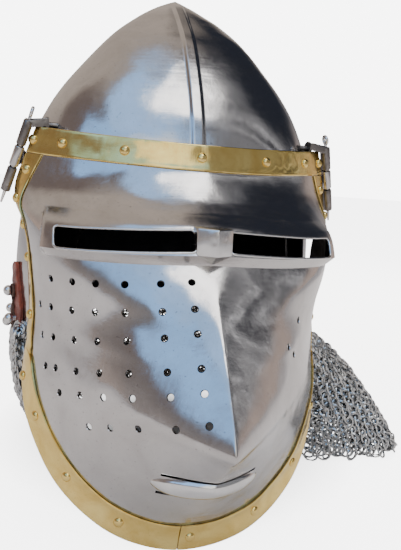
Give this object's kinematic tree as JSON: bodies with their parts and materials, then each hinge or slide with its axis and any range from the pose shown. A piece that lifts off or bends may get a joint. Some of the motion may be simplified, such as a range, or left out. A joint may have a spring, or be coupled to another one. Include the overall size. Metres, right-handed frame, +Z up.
{
  "type": "hounskull bascinet",
  "caption": "Pointed steel helmet with a snouted visor that lifts on side pivots, brass edging, eye slots, breath holes and a mail curtain.",
  "frame": {"origin": "centre of the bounding box on the surface that the helmet stands on", "axes": "+Z up, the face looks along -Y, the wearer's left side is at +X"},
  "size_m": [0.3652, 0.3676, 0.373],
  "materials": {
    "steel": "hand-polished plate with faint hammering and fine scratches",
    "dark_steel": "forge-darkened hinge iron, rubbed bright on its edges",
    "brass": "polished sheet brass and dome rivets, a little tarnished",
    "leather": "red-brown vegetable-tanned strap",
    "mail": "bright round wire rings with dull hollows"
  },
  "bodies": {
    "helmet": {"skull": "steel", "pivot_bolt_right": "dark_steel", "pivot_bolt_left": "dark_steel", "leather_band": "leather", "vervelle_right_0": "steel", "vervelle_right_1": "steel", "vervelle_right_2": "steel", "vervelle_right_3": "steel", "vervelle_right_4": "steel", "vervelle_right_5": "steel", "vervelle_right_6": "steel", "vervelle_right_7": "steel", "vervelle_left_0": "steel", "vervelle_left_1": "steel", "vervelle_left_2": "steel", "vervelle_left_3": "steel", "vervelle_left_4": "steel", "vervelle_left_5": "steel", "vervelle_left_6": "steel", "vervelle_left_7": "steel", "mail_curtain": "mail"},
    "visor": {"visor": "steel", "brow_trim": "brass", "side_trim_right": "brass", "chin_trim_right": "brass", "side_trim_left": "brass", "chin_trim_left": "brass", "rivet_brow_right_1": "brass", "rivet_brow_right_2": "brass", "rivet_brow_right_3": "brass", "rivet_side_right_0": "brass", "rivet_side_right_1": "brass", "rivet_side_right_2": "brass", "rivet_side_right_3": "brass", "rivet_side_right_4": "brass", "rivet_side_right_5": "brass", "rivet_chin_right_1": "brass", "rivet_chin_right_2": "brass", "rivet_chin_right_3": "brass", "rivet_brow_middle": "brass", "rivet_brow_left_1": "brass", "rivet_brow_left_2": "brass", "rivet_brow_left_3": "brass", "rivet_side_left_0": "brass", "rivet_side_left_1": "brass", "rivet_side_left_2": "brass", "rivet_side_left_3": "brass", "rivet_side_left_4": "brass", "rivet_side_left_5": "brass", "rivet_chin_middle": "brass", "rivet_chin_left_1": "brass", "rivet_chin_left_2": "brass", "rivet_chin_left_3": "brass", "pivot_arm_right": "dark_steel", "pivot_arm_left": "dark_steel", "hinge_leaf_right": "steel", "hinge_leaf_left": "steel", "hinge_pin_right": "steel", "hinge_pin_left": "steel"}
  },
  "joints": [
    {"name": "visor_lift", "type": "hinge", "parent": "helmet", "child": "visor", "pos_m": [-0.05572, -0.0228, 0.26903], "axis": [-1, 0, 0], "range_deg": [0, 80]}
  ]
}
